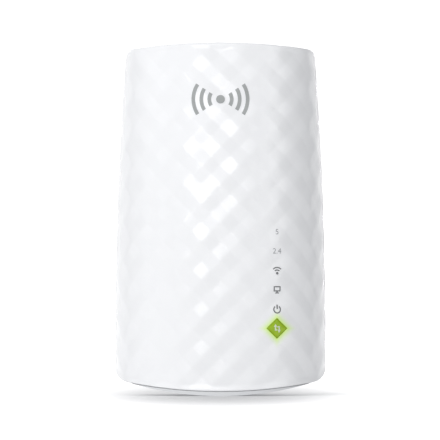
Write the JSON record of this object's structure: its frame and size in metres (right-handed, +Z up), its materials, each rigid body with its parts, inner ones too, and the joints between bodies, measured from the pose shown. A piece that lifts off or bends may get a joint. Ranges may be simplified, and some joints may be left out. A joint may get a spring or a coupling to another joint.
{
  "type": "plug-in wireless range extender",
  "caption": "Plug-in wireless range extender with a faceted white cover, a diamond push button, indicator lights, a network socket underneath and two mains blades behind.",
  "frame": {"origin": "midway between the two mains blades, on the back face that meets the wall", "axes": "+Y into the wall along the blades, the front faces -Y, +Z up along the body"},
  "size_m": [0.0658, 0.0552, 0.11],
  "materials": {
    "cover_white": "glossy",
    "housing_white": "satin",
    "plug_plastic": "satin",
    "blade_metal": "polished",
    "contact_metal": "satin",
    "power_board_laminate": "satin",
    "main_board_laminate": "satin",
    "barrier_film": "satin",
    "screw_steel": "satin",
    "ferrite": "matte",
    "winding_tape": "satin",
    "capacitor_sleeve": "glossy",
    "fuse_body": "satin",
    "film_capacitor": "satin",
    "chip_epoxy": "matte",
    "shield_tin": "satin",
    "thermal_gel": "matte",
    "spreader_aluminium": "brushed",
    "socket_plastic": "satin",
    "contact_gold": "polished",
    "light_chip": "glossy",
    "guide_clear": "clear",
    "shield_black": "matte",
    "button_green": "satin",
    "switch_black": "matte",
    "plunger_white": "satin",
    "antenna_laminate": "satin",
    "cable_jacket": "satin",
    "label_film": "satin"
  },
  "bodies": {
    "case": {"front_cover": "cover_white", "rear_housing": "housing_white", "plug_insert": "plug_plastic", "rating_label": "label_film", "blade_left": "blade_metal", "blade_right": "blade_metal", "blade_contact_left": "contact_metal", "blade_contact_right": "contact_metal", "power_board": "power_board_laminate", "main_board": "main_board_laminate", "insulating_barrier": "barrier_film", "board_screws": "screw_steel", "transformer_core": "ferrite", "transformer_winding": "winding_tape", "common_mode_choke": "ferrite", "bulk_capacitors": "capacitor_sleeve", "output_capacitor": "capacitor_sleeve", "fuse": "fuse_body", "x_capacitor": "film_capacitor", "bridge_rectifier": "chip_epoxy", "power_controller_chip": "chip_epoxy", "optocoupler": "chip_epoxy", "output_diode": "chip_epoxy", "board_header": "socket_plastic", "rf_shield_frame": "shield_tin", "rf_shield_lid": "shield_tin", "processor_chip": "chip_epoxy", "radio_chip": "chip_epoxy", "memory_chip": "chip_epoxy", "flash_chip": "chip_epoxy", "crystal": "shield_tin", "network_transformer": "chip_epoxy", "thermal_pad": "thermal_gel", "heat_spreader": "spreader_aluminium", "network_jack_housing": "socket_plastic", "jack_shield": "shield_tin", "jack_contacts": "contact_gold", "indicator_leds": "light_chip", "light_guide": "guide_clear", "light_shield": "shield_black", "button_leds": "light_chip", "range_switch_body": "switch_black", "reset_switch_body": "switch_black", "antenna_left": "antenna_laminate", "antenna_right": "antenna_laminate", "antenna_top": "antenna_laminate", "antenna_cable_left": "cable_jacket", "antenna_cable_right": "cable_jacket", "antenna_cable_top": "cable_jacket", "antenna_connectors": "contact_metal"},
    "range_button": {"range_button": "button_green"},
    "range_plunger": {"range_switch_plunger": "plunger_white"},
    "reset_plunger": {"reset_switch_plunger": "plunger_white"}
  },
  "joints": [
    {"name": "range_button_press", "type": "slide", "parent": "case", "child": "range_button", "axis": [0, 1, 0], "range_m": [0, 0.0003], "stiffness_N_per_m": 1500},
    {"name": "range_plunger_press", "type": "slide", "parent": "case", "child": "range_plunger", "axis": [0, 1, 0], "range_m": [0, 0.0005]},
    {"name": "reset_plunger_press", "type": "slide", "parent": "case", "child": "reset_plunger", "axis": [0, 0, 1], "range_m": [0, 0.00025], "stiffness_N_per_m": 900}
  ],
  "couplings": [
    {"joint": "range_plunger_press", "follows": "range_button_press", "ratio": 1}
  ]
}
